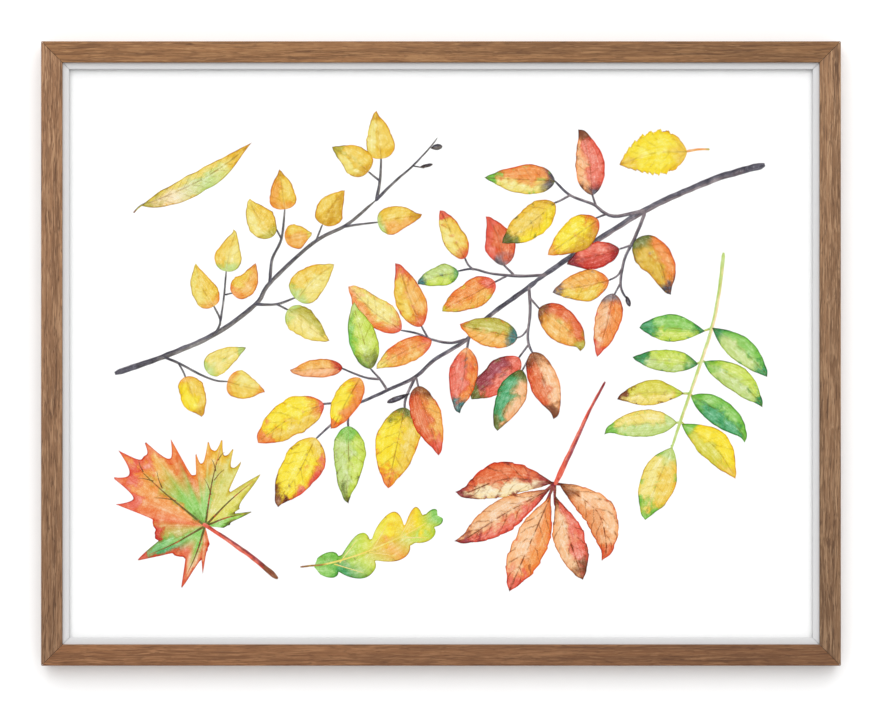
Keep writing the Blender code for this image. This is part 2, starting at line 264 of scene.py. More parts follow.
def wood_finish(name, upright, shift, tone_and_shade):
    """Open-grained brown wood under painted shade that darkens it towards the lower right. Its grain runs
    along X, or along Z in an upright piece.
    """
    chosen = settings("frame")
    made = Finish(name, 0.55, sheen=0.25)
    along = made.mapped(shift=shift, turn=(0, 90 if upright else 0, 0))
    sway = made.node("TexNoise", {"Vector": along, "Scale": 26.0, "Detail": 1.0}).outputs["Color"]
    swayed = made.node("VectorMath", {0: sway, 1: (0.0, GRAIN_SWAY, GRAIN_SWAY), 2: along},
                       operation="MULTIPLY_ADD").outputs[0]

    def lines(length, thickness, detail=3.0):
        """Streaks about this long and thick, in millimetres."""
        stretched = made.node("Mapping", {"Vector": swayed, "Scale": (thickness / length, 1, 1)}).outputs[0]
        return made.noise(stretched, 1000 / thickness, detail, 0.62)

    def stain(figure, low, high, share, under, over):
        """Lays one colour over another, where figure goes from low to high."""
        return made.blend(made.times(made.rise(figure, low, high), share * boldness), under, over)

    boldness = 1.0 if upright else RAIL_BOLDNESS
    band, streak, fibre, pore = lines(220, 5), lines(55, 2.0), lines(22, 0.8, 2), lines(9, 0.7, 2)
    colour = made.blend(made.rise(band, 0.38, 0.62), chosen.wood, chosen.wood_light)
    colour = stain(streak, 0.53, 0.68, 0.75, colour, chosen.wood_pale)
    colour = stain(streak, 0.47, 0.32, 0.7, colour, chosen.wood_dark)
    colour = stain(fibre, 0.5, 0.66, 0.8, colour, chosen.wood_pale)
    colour = stain(pore, 0.55, 0.68, 0.75, colour, chosen.wood_dark)
    # painted shade: each piece is made brighter towards the upper left and darker towards the lower right, as
    # if lit from there
    across, _, up = made.parts(made.place)
    if upright:
        painted_falloff = made.maths("MULTIPLY_ADD", up, STILE_PAINTED_LIGHT, 1.0 - STILE_PAINTED_LIGHT * STILE_MIDDLE)
    else:
        painted_falloff = made.maths("MULTIPLY_ADD", across, -RAIL_PAINTED_SHADE, 1.0)
    # the tint gives the piece's own tone of wood and, in the bottom rail, painted shade; then the painted
    # light falloff
    made.colour(made.blend(1.0, made.blend(1.0, colour, tone_and_shade, "MULTIPLY"), painted_falloff, "MULTIPLY"))
    made.rough(made.spread(streak, 0.48, 0.66))
    made.bump(made.maths("SUBTRACT", streak, pore), 0.1 * MM, 0.7)
    return made.material


def slip_finish():
    made = Finish("slip_paint", 0.6)
    brush = made.noise(made.mapped(), 420, 3)
    made.colour(made.blend(made.spread(brush, 0.0, 0.12), settings("frame").slip, (0.9, 0.9, 0.9)))
    made.bump(brush, 0.03 * MM, 0.4)
    return made.material


def glass_finish():
    made = Finish("picture_glass", 0.04, alpha=settings("frame").glass_haze)
    made.colour((0.1, 0.11, 0.11))
    return made.material


def paper_finish():
    made = Finish("print_paper", 0.9)
    tooth = made.noise(made.mapped(), 900, 4, 0.6)
    made.colour(made.blend(made.spread(tooth, 0.0, 0.12), settings("frame").paper, (0.97, 0.97, 0.96)))
    made.bump(tooth, 0.03 * MM, 0.5)
    return made.material


def corrugated_finish():
    made = Finish("corrugated_board", 0.85)
    flute = made.node("TexWave", {"Vector": made.mapped(), "Scale": 60.0, "Distortion": 0.4},
                      bands_direction="X").outputs["Fac"]
    made.colour(made.blend(flute, paint(196, 172, 138), paint(214, 192, 160)))
    made.bump(flute, 0.2 * MM)
    return made.material


def hardboard_finish():
    made = Finish("hardboard", 0.6)
    cloud = made.noise(made.mapped(), 14, 4, 0.6)
    fleck = made.noise(made.mapped((1, 1, 0.4), (3, 1, 2)), 700, 3, 0.65)
    chosen = settings("frame")
    dark = tuple(0.62 * c for c in chosen.board)
    light = tuple(min(1.0, 1.35 * c) for c in chosen.board)
    colour = made.blend(made.spread(cloud, 0.0, 0.35), chosen.board, dark)
    colour = made.blend(made.times(made.rise(fleck, 0.55, 0.72), 0.6), colour, light)
    colour = made.blend(made.times(made.rise(fleck, 0.42, 0.28), 0.5), colour, dark)
    made.colour(colour)
    made.rough(made.spread(fleck, 0.5, 0.72))
    made.bump(fleck, 0.06 * MM, 0.6)
    return made.material


def steel_finish(name, brightness):
    made = Finish(name, 0.35, metallic=1.0)
    spangle = made.noise(made.mapped(), 500, 2, 0.5, 0.6)
    scratch = made.noise(made.mapped((1, 1, 0.08), turn=(0, 35, 0)), 4200, 2)
    bright = tuple(brightness * c for c in settings("frame").steel)
    dull = tuple(0.86 * c for c in bright)
    made.colour(made.blend(made.rise(spangle, 0.35, 0.65), dull, bright))
    made.rough(made.spread(made.times(spangle, scratch), 0.26, 0.62))
    made.bump(scratch, 0.02 * MM, 0.5)
    return made.material


def rubber_finish():
    made = Finish("bumper_rubber", 0.8)
    dust = made.noise(made.mapped(), 1300, 3)
    made.colour(made.blend(made.spread(dust, 0.0, 0.5), (0.035, 0.035, 0.035), (0.075, 0.072, 0.07)))
    made.bump(dust, 0.04 * MM, 0.5)
    return made.material


INK_PARTS = ("main", "side", "tip", "base")


def ink_finish():
    """Watercolour. Each vertex gives four inks, its place on its leaf and how far off rim and midrib are."""
    chosen = settings("inks")
    made = Finish("watercolour_ink", 0.9, sheen=0.2)
    place = made.attribute("place", "Vector")
    wash = made.noise(made.mapped(), 70, 5, 0.6, 0.6)
    drift = made.noise(made.mapped(shift=(3.1, 0, 1.7)), 95, 5, 0.6, 0.5)
    pool = made.noise(made.mapped(shift=(1.3, 0, 4.9)), 160, 4, 0.6)
    blot = made.noise(made.mapped(shift=(6.2, 0, 2.3)), 130, 4, 0.65, 0.8)
    grain = made.noise(made.mapped(), 1150, 3, 0.65)
    on_leaf = made.node("Mapping", {"Vector": place, "Scale": (3.2, 9.0, 0)}).outputs[0]
    brushed = made.node("VectorMath", {0: on_leaf, 1: made.mapped((24, 24, 24))}, operation="ADD").outputs[0]
    stroke = made.noise(brushed, 1.0, 2, 0.6)
    along, across, rim = made.parts(place)
    midrib, count, strength = made.parts(made.attribute("ribs", "Vector"))
    cover = made.attribute("cover", "Fac")

    # the four inks, which run into each other, and blots of the third near rim and midrib
    side = made.rise(made.swing(cover, wash, 2.6 * chosen.wetness), -0.22, 0.46)
    tip = made.rise(made.swing(along, drift, 0.8 * chosen.wetness), 0.72, 0.92)
    base = made.rise(made.swing(along, wash, 0.55 * chosen.wetness), 0.24, 0.03)
    ink = [made.attribute(part, "Color") for part in INK_PARTS]
    colour = made.blend(side, ink[0], ink[1])
    colour = made.blend(tip, colour, ink[2])
    colour = made.blend(base, colour, ink[3])
    near_midrib = made.times(made.rise(midrib, 3.4, 0.5), 0.8)
    near_line = made.larger(made.rise(rim, 4.5, 0.8), near_midrib)
    blotted = made.times(made.rise(blot, 0.55, 0.64), near_line)
    colour = made.blend(made.times(blotted, 0.7), colour, ink[2])

    def edge_of(share):
        """1 along the line where one ink meets the next."""
        return made.times(made.times(share, made.maths("SUBTRACT", 1.0, share)), 4.0)

    # the veins, the midrib and the drawn outline
    meeting = made.larger(edge_of(side), made.larger(edge_of(tip), edge_of(base)))
    slant = made.times(made.maths("ABSOLUTE", across), 1.4)
    phase = made.maths("SUBTRACT", made.times(along, count), made.swing(slant, drift, 1.0))
    gap = made.maths("ABSOLUTE", made.maths("SUBTRACT", made.maths("FRACT", phase), 0.5))
    vein = made.times(made.rise(gap, 0.38, 0.48), made.rise(count, 0.5, 1.0))
    vein = made.larger(made.times(vein, 0.62), made.rise(midrib, 0.85, 0.15))
    vein = made.times(made.times(vein, made.rise(pool, 0.34, 0.6)), strength)
    outline = made.times(made.rise(rim, 0.95, 0.1), made.rise(drift, 0.34, 0.66))
    drawn = made.larger(vein, made.times(outline, 0.55))
    colour = made.blend(drawn, colour, chosen.umber)

    # how much ink there is: 1 leaves a colour as it is, and more is darker and stronger
    amount = made.maths("MULTIPLY_ADD", made.rise(rim, 6.5, 0.4), 0.28, made.spread(pool, 0.05, 1.6))
    amount = made.swing(amount, grain, 1.0)
    amount = made.swing(amount, stroke, 1.0)
    amount = made.maths("MULTIPLY_ADD", made.rise(rim, 1.6, 0.2), chosen.pooling, amount)
    amount = made.maths("MULTIPLY_ADD", meeting, 0.25, amount)
    amount = made.maths("MULTIPLY_ADD", drawn, 0.35, amount)
    amount = made.larger(amount, 0.15)
    thick = made.node("Gamma", {"Color": colour, "Gamma": amount}).outputs[0]
    made.colour(made.blend(1.0, thick, (0.9, 0.9, 0.9), "MULTIPLY"))
    made.bump(grain, 0.02 * MM, 0.4)
    return made.material


# -------- drawing on the paper
LINE_STEP = 0.004  # share of a line's length each way, from which its direction is taken


def run_through(points):
    """A smooth line through points, as a function from 0..1 to (place, unit direction)."""
    knots = [Vector(p) for p in points]
    if len(knots) == 2:
        knots.insert(1, (knots[0] + knots[1]) / 2)
    steps = [(b - a).length for a, b in zip(knots, knots[1:])]
    total = sum(steps)
    padded = [2 * knots[0] - knots[1], *knots, 2 * knots[-1] - knots[-2]]

    def spot(share):
        left = min(max(share, 0.0), 1.0) * total
        index = 0
        while index < len(steps) - 1 and left > steps[index]:
            left -= steps[index]
            index += 1
        u = left / steps[index]
        a, b, c, d = padded[index:index + 4]
        return 0.5 * (2 * b + (c - a) * u + (2 * a - 5 * b + 4 * c - d) * u * u
                      + (3 * b - a - 3 * c + d) * u**3)

    def line(share):
        return spot(share), (spot(share + LINE_STEP) - spot(share - LINE_STEP)).normalized()

    line.length = total
    return line


def left_of(forward):
    """Turned a quarter to the left, and just as long."""
    return Vector((-forward.y, forward.x))


def bent(start, end, bend):
    """A line from start to end whose middle stands off to the left by bend times its length."""
    start, end = Vector(start), Vector(end)
    return run_through([start, (start + end) / 2 + left_of(end - start) * bend, end])


def leaf_profile(rise, fall):
    """Half-width along a leaf, from 0 at its base through 1 to 0 at its tip."""
    widest = rise / (rise + fall)
    scale = 1 / (widest**rise * (1 - widest) ** fall)
    return lambda t: scale * t**rise * (1 - t) ** fall


# How slowly each kind of leaf widens from its base, and how slowly it narrows to its tip
POINTED = (0.64, 1.0)
OVATE = (0.46, 1.12)
LEAFLET = (0.98, 1.08)
STALKED = (1.25, 1.2)
BACKWARD = (0.95, 0.72)

SMOOTH_ROWS = 36  # of vertices along a leaf
TOOTHED_ROWS = 80
TWIG_ROW = 2.5  # millimetres from row to row of a twig


class InkFilm:
    """Thin shapes of ink on the paper, gathered into one piece. Each new shape lies on the ones before it."""

    def __init__(self):
        self.bm = bmesh.new()
        for part in INK_PARTS:
            self.bm.verts.layers.float_color.new(part)
        for name in ("place", "ribs"):
            self.bm.verts.layers.float_vector.new(name)
        self.bm.verts.layers.float.new("cover")
        self.height = FILM_LIFT

    def grid(self, rows, columns):
        """A flat grid's vertices with (along 0..1, across -1..1) for each. Rows crowd towards the ends."""
        made = bmesh.ops.create_grid(self.bm, x_segments=rows, y_segments=columns, size=0.5)
        self.height += FILM_STEP
        found = []
        for vertex in made["verts"]:
            share = min(max(vertex.co.x + 0.5, 0.0), 1.0)
            found.append((vertex, 0.5 - 0.5 * math.cos(math.pi * share), 2 * vertex.co.y))
        return found

    def put(self, vertex, spot, inks, place, ribs, cover=0.0):
        layers = self.bm.verts.layers
        vertex.co = (SHEET_MIDDLE.x + spot[0] * MM, PAPER_Y - self.height, SHEET_MIDDLE.z + spot[1] * MM)
        for part, colour in zip(INK_PARTS, inks):
            vertex[layers.float_color[part]] = (*colour, 1.0)
        vertex[layers.float_vector["place"]] = place
        vertex[layers.float_vector["ribs"]] = ribs
        vertex[layers.float["cover"]] = place[1] + cover

    def close_ends(self, found):
        """Merges a row that has shrunk to a point."""
        bmesh.ops.remove_doubles(self.bm, verts=[vertex for vertex, _, _ in found], dist=MERGE_REACH)

    def blade(self, line, half_width, inks, veins, lean=0.0, rows=SMOOTH_ROWS, columns=6, cover=0.0,
              inset=0.0):
        """A shape along a line.

        half_width takes (along, side) and gives millimetres, and veins is (count, darkness). inks is four
        names, or a function from along and across to four colours. lean slants the sides forward, cover
        spreads the side ink, and inset keeps the edge from darkening.
        """
        mixed = inks if callable(inks) else constant_inks(inks)
        found = self.grid(rows, columns)
        for vertex, along, across in found:
            half = half_width(along, 1 if across > 0 else -1)
            centre, forward = line(along)
            spot = centre + (left_of(forward) * across + forward * (lean * abs(across))) * half
            place = (along, across, inset + (1 - abs(across)) * half)
            self.put(vertex, spot, mixed(along, across), place, (abs(across) * half, *veins), cover)
        self.close_ends(found)

    def settle(self, name):
        """Closes each shape down to the films' back, and adds the lot to the frame as one piece."""
        bm = self.bm
        grown = bmesh.ops.extrude_face_region(bm, geom=list(bm.faces), use_keep_orig=True)
        for vertex in grown["geom"]:
            if isinstance(vertex, bmesh.types.BMVert):
                vertex.co.y = PAPER_Y - FILM_BACK
        bmesh.ops.recalc_face_normals(bm, faces=bm.faces)
        mesh = bpy.data.meshes.new(name)
        bm.to_mesh(mesh)
        bm.free()
        mesh.materials.append(shared_ink())
        piece = add_object(name, mesh)
        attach(piece, "frame")


def shared_ink():
    return bpy.data.materials.get("watercolour_ink") or ink_finish()


def ink(name):
    return tuple(getattr(settings("inks"), name))


def constant_inks(names):
    four = [ink(name) for name in names.split()]
    return lambda along, across: four


def between(first, second, share):
    share = min(max(share, 0.0), 1.0)
    return tuple(a + (b - a) * share for a, b in zip(first, second))


def along_stops(stops, value):
    """The ink at value, given (value, ink name) stops in rising order."""
    for (low, first), (high, second) in zip(stops, stops[1:]):
        if value <= high:
            return between(ink(first), ink(second), (value - low) / (high - low))
    return ink(stops[-1][1])


def vary(seed, number):
    """A steady number from about -1 to 1."""
    return 2 * noise.noise(Vector((seed + 0.31, 1.7 * number + 0.41, 0.57)))


def wavy(seed, slow, quick):
    """A wander about 1 along each side of a leaf, the same each time for the same seed."""
    return lambda t, side: (1 + slow * noise.noise(Vector((2.8 * t, 7.7 * side, seed)))
                            + quick * noise.noise(Vector((13.0 * t, 3.1 * side, seed))))


def leaf(film, start, end, width, inks, bend, shape, veins, cover=0.0, hook=1.3, teeth=(1, 0.0)):
    """A simple leaf from its stalk's end to its tip, with its own small differences.

    shape is one of the kinds above, teeth is (count, depth) and hook is how many millimetres its tip strays.
    """
    seed = start[0] * 0.37 + end[1] * 0.11
    start, end = Vector(start), Vector(end)
    reach = end - start
    left = left_of(reach)
    near_tip = start + reach * 0.87 + left * (0.46 * bend) + left.normalized() * hook * vary(seed, 1)
    line = run_through([start, start + reach * 0.48 + left * bend, near_tip, end])
    outline = leaf_profile(shape[0] * (1 + 0.14 * vary(seed, 2)), shape[1] * (1 + 0.12 * vary(seed, 3)))
    wander = wavy(seed, 0.2, 0.07)
    count, depth = teeth

    def half(t, side):
        return width / 2 * outline(t) * wander(t, side) * (1 + depth * (0.5 - (t * count + 0.2 * side) % 1))

    film.blade(line, half, inks, veins, cover=cover, rows=SMOOTH_ROWS if count == 1 else TOOTHED_ROWS)


def twig(film, points, start_width, end_width, inks):
    """A tapering stem with a blunt start and a round end."""
    line = run_through(points)
    seed = points[0][0] * 0.23 + points[-1][1] * 0.17
    rows = max(8, round(line.length / TWIG_ROW))

    def half(t, side):
        taper = (start_width + (end_width - start_width) * t) / 2
        knobbly = 1 + 0.22 * noise.noise(Vector((t * line.length / 6, 4.3 * side, seed)))
        return taper * knobbly * min(1.0, 24 * t + 0.55) * (1 - t**30) ** 0.5

    film.blade(line, half, inks, (0, 0.0), rows=rows, columns=4, inset=1.2)


def bud(film, start, end, width, inks):
    leaf(film, start, end, width, inks, 0.0, BACKWARD, (0, 0.1), hook=0.2)


# -------- the printed leaves
def paint_willow_leaf():
    film = InkFilm()
    twig(film, [(-262, 120), (-256, 126), (-244, 131)], 1.2, 2.0, "olive ash olive umber")
    line = run_through([(-255, 126), (-230, 136), (-203, 149), (-180, 164), (-161, 180)])
    wander = wavy(4.4, 0.25, 0.1)
    upper, lower = leaf_profile(1.0, 1.15), leaf_profile(0.85, 1.35)

    def half(t, side):
        return (9.0 * upper(t) if side > 0 else 11.5 * lower(t)) * wander(t, side)

    def mixed(t, across):
        low_side = between(between(ink("cream"), ink("sage"), 3.6 * t - 0.9), ink("straw"), 4 * t - 2.2)
        return [low_side, between(ink("straw"), ink("gold"), 2 * t - 0.9), ink("gold"), ink("olive")]

    film.blade(line, half, mixed, (14, 0.5), rows=60, cover=-0.3)
    film.settle("willow_leaf_print")


def paint_yellow_sprig():
    film = InkFilm()
    grey = "ash slate ash slate"
    for thick, thin, *points in (
        (5, 2.5, (-278, -17), (-235, -2), (-192, 17), (-158, 42), (-146, 60), (-108, 95), (-80, 110),
         (-55, 131)),
        (2.6, 1, (-56, 130), (-40, 146), (-24, 160), (-9, 176), (-3, 184)),
        (2.2, 1.5, (-236, -3), (-222, -9), (-205, -18), (-192, -23), (-181, -24)),
        (1.8, 1.5, (-224, -8), (-220, -15), (-217, -22)),
        (2.2, 1.5, (-192, 17), (-188, 28), (-194, 41)),
        (1.8, 1.4, (-188, 27), (-185, 48), (-183, 71)),
        (1.4, 1.2, (-184, 50), (-176, 52)),
        (2.6, 1.6, (-158, 42), (-140, 42), (-123, 48)),
        (1.9, 1.4, (-140, 42), (-130, 37)),
        (2.8, 1.6, (-146, 60), (-144, 80), (-136, 98), (-133, 124)),
        (1.8, 1.3, (-136, 98), (-141, 107)),
        (1.7, 1.4, (-107, 95), (-101, 110)),
        (2.3, 1.3, (-84, 108), (-70, 110), (-53, 112)),
        (2.8, 1.6, (-55, 131), (-52, 148), (-51, 168)),
        (1.9, 1.4, (-52, 147), (-57, 151), (-62, 155)),
        (1.3, 0.9, (-24, 160), (-14, 158)),
    ):
        twig(film, points, thick, thin, grey)
    bud(film, (-18, 159), (-7, 161), 3.2, grey)
    bud(film, (-9, 175), (1, 177), 5.0, grey)
    for start, end, width, bend, inks in (
        ((-51, 166), (-55, 207), 25, 0, "gold straw ochre gold"),
        ((-62, 155), (-93, 176), 24, -0.05, "gold straw olive ochre"),
        ((-133, 123), (-138, 157), 23, 0, "gold honey ochre honey"),
        ((-143, 100), (-163, 132), 23, 0.06, "gold straw straw olive"),
        ((-133, 98), (-110, 103), 21, 0, "honey gold straw honey"),
        ((-101, 110), (-82, 139), 24, 0.05, "ochre gold gold ochre"),
        ((-54, 112), (-16, 119), 24, 0, "honey gold ochre sage"),
        ((-183, 70), (-177, 106), 22, 0, "straw gold straw sage"),
        ((-177, 50), (-158, 77), 20, -0.1, "honey gold honey orange"),
        ((-194, 40), (-209, 77), 22, 0.07, "gold straw straw honey"),
        ((-123, 46), (-91, 76), 27, 0.06, "straw gold straw sage"),
        ((-130, 38), (-95, 11), 24, -0.03, "straw olive straw sage"),
        ((-200, -15), (-166, 5), 21, 0.04, "straw straw sage sage"),
        ((-182, -24), (-150, -33), 23, 0, "gold straw honey honey"),
        ((-218, -20), (-204, -54), 23, 0, "lemon gold ochre honey"),
    ):
        leaf(film, start, end, width, inks, bend, OVATE, (6, 0.28))
    film.settle("yellow_sprig_print")


def paint_big_branch():
    film = InkFilm()
    bark = "slate dusk slate slate"
    bough = [(276, 161), (240, 151), (205, 137), (172, 121), (140, 101), (110, 82), (78, 60)]
    twig(film, bough, 5.8, 4.0, bark)
    twig(film, [(82, 62), (40, 31), (22, 12), (-5, -5), (-22, -20), (-45, -31), (-74, -44)], 4.0, 2.6, bark)
    for thick, thin, *points in (
        (3.2, 1.9, (174, 122), (150, 117), (139, 120), (130, 127), (110, 135), (96, 148)),
        (2, 1.6, (110, 135), (103, 131), (96, 128)),
        (2, 1.7, (132, 126), (128, 138)),
        (1.9, 1.5, (141, 119), (131, 115)),
        (3, 1.9, (174, 120), (165, 98), (157, 82), (153, 62), (155, 52), (160, 45)),
        (1.8, 1.6, (161, 92), (152, 89)),
        (1.8, 1.5, (154, 72), (150, 66), (142, 62)),
        (1.8, 1.5, (153, 60), (147, 49)),
        (2.8, 1.7, (90, 67), (68, 66), (44, 68), (27, 72), (13, 70)),
        (2, 1.6, (62, 67), (53, 76)),
        (1.8, 1.4, (56, 66), (44, 60)),
        (1.8, 1.5, (28, 71), (23, 76), (20, 82)),
        (2.8, 1.9, (75, 57), (76, 35), (74, 12), (79, -2)),
        (2, 1.6, (76, 47), (84, 38)),
        (1.9, 1.5, (74, 21), (69, 15), (63, 13)),
        (1.9, 1.5, (75, 8), (66, -4)),
        (1.8, 1.5, (77, 0), (69, -15)),
        (2.4, 1.9, (24, 15), (22, 3)),
        (2.6, 1.5, (21, 12), (8, 9), (-8, 12), (-20, 17), (-35, 20)),
        (1.8, 1.5, (-11, 13), (-17, 24)),
        (2.2, 1.5, (-46, -31), (-52, -22), (-61, -12)),
        (2, 1.5, (-52, -22), (-66, -20), (-86, -12)),
        (2.6, 1.9, (-22, -20), (-30, -38), (-31, -48)),
        (1.9, 1.6, (-21, -21), (-19, -30)),
        (2.6, 1.8, (-74, -44), (-79, -53), (-79, -64)),
        (2, 1.7, (-76, -46), (-94, -61), (-107, -73)),
        (1.9, 1.7, (-88, -42), (-102, -43)),
    ):
        twig(film, points, thick, thin, "dusk slate slate dusk")
    for start, end, width in (((158, 49), (161, 40), 4.2), ((-26, -34), (-46, -42), 4.6)):
        bud(film, start, end, width, "slate " * 4)
    for start, end, width, bend, cover, inks in (
        ((97, 147), (37, 150), 25, 0, 0, "orange straw leaf slate"),
        ((129, 135), (117, 191), 25, -0.06, -0.2, "coral peach umber slate"),
        ((54, 75), (38, 117), 25, -0.09, -0.2, "tangerine coral coral dusk"),
        ((152, 89), (107, 76), 22, 0, 0, "coral red wine wine"),
        ((97, 128), (52, 94), 27, 0.02, -0.2, "gold lemon moss ochre"),
        ((134, 114), (91, 84), 27, 0, -0.2, "lemon ochre honey tangerine"),
        ((166, 97), (196, 50), 30, 0.12, -0.1, "ochre orange slate moss"),
        ((143, 62), (95, 52), 25, 0, 0.1, "honey gold dusk orange"),
        ((147, 51), (133, -3), 23, 0.02, 0.1, "sand orange coral dusk"),
        ((46, 61), (1, 36), 24, 0, 0, "orange honey citron coral"),
        ((-8, 11), (-55, -13), 21, -0.04, 0.1, "orange honey straw coral"),
        ((-34, 20), (-79, 57), 26, 0.05, -0.1, "straw orange peach coral"),
        ((-17, 23), (-39, 77), 24, 0, 0, "honey gold coral tangerine"),
        ((-60, -13), (-74, 44), 24, 0, -0.5, "lime leaf sage moss"),
        ((-84, -12), (-129, -14), 16, 0, -0.1, "honey peach sand red"),
        ((-100, -43), (-156, -76), 32, -0.06, 0, "lemon gold orange coral"),
        ((-107, -72), (-139, -131), 36, 0.02, -0.5, "lemon coral umber gold"),
        ((-69, -21), (-94, -64), 23, 0, 0, "lemon orange orange honey"),
        ((-79, -62), (-79, -128), 28, 0, -0.1, "sage lime moss leaf"),
        ((-31, -46), (-45, -115), 37, 0, -0.1, "lemon gold orange moss"),
        ((-20, -28), (-2, -87), 25, 0, -0.1, "tangerine honey coral umber"),
        ((67, -4), (26, -39), 27, 0, 0.1, "wine coral moss coral"),
        ((22, 5), (16, -51), 23, 0, -0.1, "coral orange teal peach"),
        ((69, -14), (48, -66), 23, 0, -0.1, "jade sand moss moss"),
        ((78, 1), (96, -56), 25, 0.03, 0.1, "tangerine peach umber umber"),
        ((65, 13), (16, 25), 25, 0, 0, "olive honey orange teal"),
        ((84, 39), (119, 2), 27, 0.08, 0.1, "honey tangerine olive umber"),
        ((15, 69), (-20, 59), 18, -0.05, 0, "sage lime teal jade"),
        ((20, 81), (-1, 122), 20, 0, 0, "gold straw coral tangerine"),
    ):
        leaf(film, start, end, width, inks, bend, POINTED, (7, 0.45), cover, hook=2.0)
    film.settle("orange_branch_print")


def paint_birch_leaf():
    film = InkFilm()
    twig(film, [(229, 174), (219, 174), (208, 172)], 1.6, 2.2, "sand honey sand olive")
    outline = leaf_profile(0.42, 1.0)

    def half(t, side):
        big, small = (t * 9 + 0.35 * side) % 1, (t * 27) % 1
        return 17.0 * outline(t) * (0.98 + 0.16 * (1 - big) + 0.06 * (1 - small))

    line = bent((210, 172), (152, 161), -0.07)
    film.blade(line, half, "lemon lemon gold gold", (8, 0.45), lean=0.35, rows=120, columns=10)
    film.settle("birch_leaf_print")


def paint_rowan_leaf():
    film = InkFilm()
    for start, end in (((229, 21), (223, 19)), ((222, -7), (217, -9)), ((212, -34), (204, -34)),
                       ((204, -59), (198, -59)), ((229, 22), (234, 21)), ((222, -6), (227, -8)),
                       ((211, -34), (216, -37)), ((204, -58), (208, -61)), ((197, -78), (196, -84))):
        twig(film, [start, end], 2.2, 1.5, "sage olive leaf leaf")
    stem = [(241, 86), (237, 52), (231, 22), (222, -6), (212, -35), (204, -58), (196, -83)]
    twig(film, stem, 3.2, 2.4, "sage cream sage sage")
    for start, end, width, bend, inks in (
        ((225, 19), (169, 22), 22, -0.02, "leaf lime jade jade"),
        ((219, -9), (163, -3), 20, 0, "lime sage jade jade"),
        ((207, -34), (150, -39), 21, -0.06, "citron straw umber lime"),
        ((201, -59), (139, -69), 24, -0.06, "straw sage leaf sage"),
        ((231, 22), (278, -20), 21, 0.05, "sage leaf jade jade"),
        ((224, -7), (274, -46), 22, 0.08, "sage lime jade leaf"),
        ((213, -36), (259, -76), 23, 0.1, "jade leaf leaf leaf"),
        ((205, -60), (251, -107), 26, 0.1, "citron lemon gold leaf"),
        ((197, -80), (174, -142), 30, -0.02, "straw gold leaf sage"),
    ):
        leaf(film, start, end, width, inks, bend, LEAFLET, (8, 0.3), hook=1.8)
    film.settle("rowan_leaf_print")


MAPLE_FOOT = Vector((-201, -147))  # where the lobes and the stalk meet
MAPLE_AXIS = 139  # degrees from the paper's right, turning left
MAPLE_TURN = 145  # degrees from the axis to the notch at the stalk, each way
MAPLE_LOBES = (
    # degrees from the axis, length, half of the spread in degrees, whether the lobe has side teeth
    (0, 97, 37, True), (-60, 79, 25, True), (-96, 66, 17, False), (-122, 42, 15, False), (68, 66, 23, False),
    (110, 56, 19, False), (128, 42, 9, False),
)
TOOTHED = ((0.0, 1.0), (0.2, 0.8), (0.36, 0.93), (0.56, 0.68), (0.74, 0.82), (1.0, 0.45))
PLAIN = ((0.0, 1.0), (1.0, 0.5))
TOOTH_HOLLOW = 2.5  # 1 is a straight-sided tooth, and more is hollower
MAPLE_INKS = (
    (-135, "leaf"), (-100, "lime"), (-72, "sage"), (-52, "honey"), (-30, "tangerine"), (-10, "honey"),
    (12, "orange"), (32, "coral"), (52, "leaf"), (74, "jade"), (92, "coral"), (112, "sand"), (135, "red"),
)
MAPLE_TIPS = (
    (-135, "moss"), (-100, "olive"), (-60, "gold"), (-34, "orange"), (0, "coral"), (30, "coral"),
    (60, "red"), (90, "tangerine"), (135, "red"),
)


def lobe_reach(x, teeth):
    """How far a maple lobe reaches at x, which is 0 on its axis and 1 at the notch beside it."""
    for (x0, y0), (x1, y1) in zip(teeth, teeth[1:]):
        if x <= x1:
            u = (x - x0) / (x1 - x0)
            if y0 > y1:
                return y1 + (y0 - y1) * (1 - u) ** TOOTH_HOLLOW
            return y0 + (y1 - y0) * u**TOOTH_HOLLOW
    return 0.0


def maple_reach(angle):
    body = 47 - 31 * (abs(angle) / MAPLE_TURN) ** 2
    return max([body, *(length * lobe_reach(abs(angle - middle) / spread, TOOTHED if toothed else PLAIN)
                        for middle, length, spread, toothed in MAPLE_LOBES)])


def maple_way(angle):
    """The unit direction at this many degrees from the leaf's axis."""
    turned = math.radians(MAPLE_AXIS + angle)
    return Vector((math.cos(turned), math.sin(turned)))


def paint_maple_leaf():
    film = InkFilm()
    found = film.grid(16, 360)
    for vertex, along, across in found:
        angle = across * MAPLE_TURN
        edge = maple_reach(angle) * (1 + 0.05 * noise.noise(Vector((angle / 5, 2.6, 0.4))))
        radius = edge * along
        warm = along_stops(MAPLE_INKS, angle)
        green = between(ink("leaf"), warm, 2.4 * along - 0.9)
        second = between(warm, ink("gold") if angle < -40 else ink("orange"), 0.45)
        four = (green, second, along_stops(MAPLE_TIPS, angle), ink("moss"))
        place = (0.1 + 0.82 * along, math.sin(3 * math.radians(angle)), (edge - radius) * 0.75)
        film.put(vertex, MAPLE_FOOT + maple_way(angle) * radius, four, place, (9.0, 0, 0))
    film.close_ends(found)
    for middle, length, _, toothed in MAPLE_LOBES[:-1]:
        way = maple_way(middle)
        end = MAPLE_FOOT + way * length * 0.86
        twig(film, [MAPLE_FOOT, MAPLE_FOOT + way * length * 0.45 + left_of(way) * 1.4, end], 2.0, 0.3,
             "umber moss tangerine moss")
        for share, turn in ((0.34, 34), (0.5, -32), (0.6, 30), (0.72, -28)):
            if toothed:
                start = MAPLE_FOOT + way * length * share
                end = start + maple_way(middle + turn) * length * 0.22 * (1.25 - share)
                twig(film, [start, (start + end) / 2 + way * 1.2, end], 1.0, 0.3, "umber moss umber umber")
    twig(film, [(-203, -145), (-180, -160), (-158, -176), (-139, -192)], 3.0, 4.6, "coral wine umber coral")
    film.settle("maple_leaf_print")


